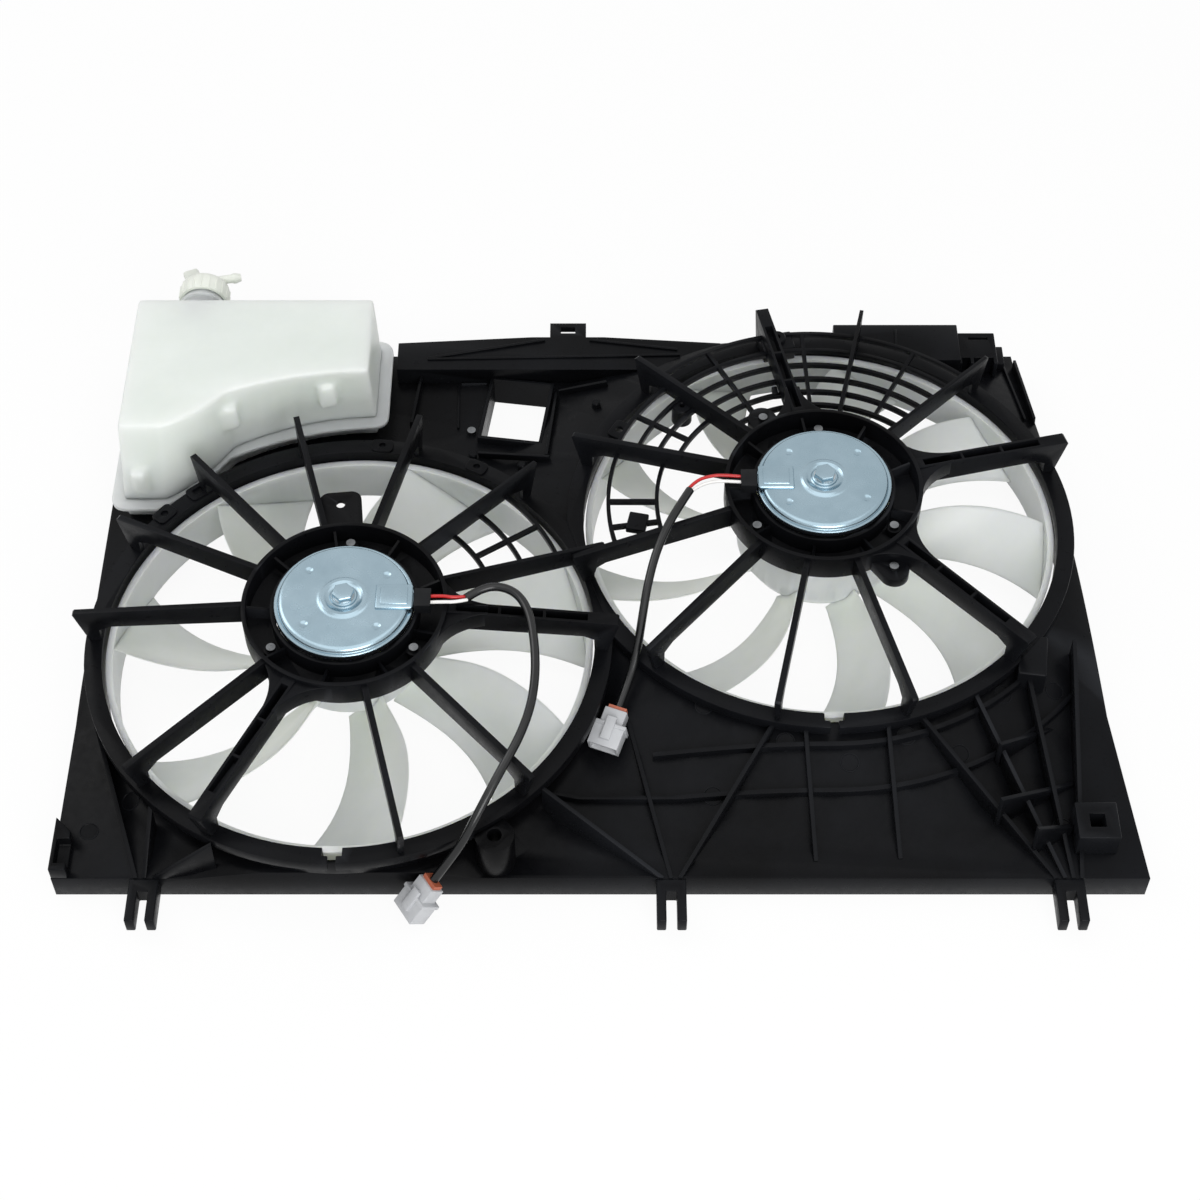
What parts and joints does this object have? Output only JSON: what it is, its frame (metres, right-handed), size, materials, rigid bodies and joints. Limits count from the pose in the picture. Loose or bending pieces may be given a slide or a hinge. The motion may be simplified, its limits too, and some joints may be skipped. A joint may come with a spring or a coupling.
{
  "type": "radiator cooling fan assembly",
  "caption": "Radiator cooling fan assembly: black moulded shroud with spoked motor mounts and finger guards, pale swept fans, milky coolant reservoir and wired motors.",
  "frame": {"origin": "centre of the bounding box on the radiator-side plane", "axes": "+X along the shroud's long side, +Y towards the reservoir cap, +Z away from the radiator"},
  "size_m": [0.776, 0.58, 0.116],
  "materials": {
    "shroud_plastic": "satin",
    "fan_plastic": "satin",
    "tank_plastic": "satin",
    "cap_plastic": "satin",
    "zinc_plate": "satin",
    "can_steel": "satin",
    "bright_steel": "polished",
    "bearing_steel": "polished",
    "ferrite": "matte",
    "core_steel": "satin",
    "carbon": "matte",
    "plug_plastic": "satin",
    "red_insulation": "gloss",
    "white_insulation": "gloss",
    "sleeve_plastic": "gloss",
    "connector_plastic": "satin",
    "seal_rubber": "satin"
  },
  "bodies": {
    "shroud": {"shroud_panel": "shroud_plastic", "left_ring": "shroud_plastic", "right_ring": "shroud_plastic", "left_motor_mount": "shroud_plastic", "right_motor_mount": "shroud_plastic", "left_spokes": "shroud_plastic", "right_spokes": "shroud_plastic", "left_guard": "shroud_plastic", "right_guard": "shroud_plastic", "panel_ribs": "shroud_plastic", "fork_feet": "shroud_plastic", "top_bracket": "shroud_plastic", "corner_duct": "shroud_plastic", "window_frame": "shroud_plastic", "cord_boss": "shroud_plastic", "corner_clip": "shroud_plastic", "side_clip_box": "shroud_plastic", "reservoir_tank": "tank_plastic", "shroud_screws": "bright_steel", "left_motor_can": "can_steel", "left_end_plate": "zinc_plate", "left_magnets": "ferrite", "left_brush_holder": "carbon", "left_brushes": "carbon", "left_front_bearing": "bearing_steel", "left_rear_bearing": "bearing_steel", "left_motor_screws": "bright_steel", "left_lead_plug": "plug_plastic", "left_red_wire": "red_insulation", "left_white_wire": "white_insulation", "left_lead_sleeve": "sleeve_plastic", "left_connector": "connector_plastic", "left_connector_seals": "seal_rubber", "right_motor_can": "can_steel", "right_end_plate": "zinc_plate", "right_magnets": "ferrite", "right_brush_holder": "carbon", "right_brushes": "carbon", "right_front_bearing": "bearing_steel", "right_rear_bearing": "bearing_steel", "right_motor_screws": "bright_steel", "right_lead_plug": "plug_plastic", "right_red_wire": "red_insulation", "right_white_wire": "white_insulation", "right_lead_sleeve": "sleeve_plastic", "right_connector": "connector_plastic", "right_connector_seals": "seal_rubber"},
    "left_fan": {"left_fan_hub": "fan_plastic", "left_fan_blades": "fan_plastic", "left_fan_ring": "fan_plastic", "left_motor_shaft": "bearing_steel", "left_armature": "core_steel", "left_fan_nut": "bright_steel"},
    "right_fan": {"right_fan_hub": "fan_plastic", "right_fan_blades": "fan_plastic", "right_fan_ring": "fan_plastic", "right_motor_shaft": "bearing_steel", "right_armature": "core_steel", "right_fan_nut": "bright_steel"},
    "cap": {"reservoir_cap": "cap_plastic"}
  },
  "joints": [
    {"name": "left_fan_spin", "type": "hinge", "parent": "shroud", "child": "left_fan", "pos_m": [-0.186, -0.072, 0.035], "axis": [0, 0, 1], "continuous": true},
    {"name": "right_fan_spin", "type": "hinge", "parent": "shroud", "child": "right_fan", "pos_m": [0.169, 0.042, 0.035], "axis": [0, 0, 1], "continuous": true},
    {"name": "cap_pull", "type": "slide", "parent": "shroud", "child": "cap", "axis": [0, 1, 0], "range_m": [0, 0.04]}
  ]
}
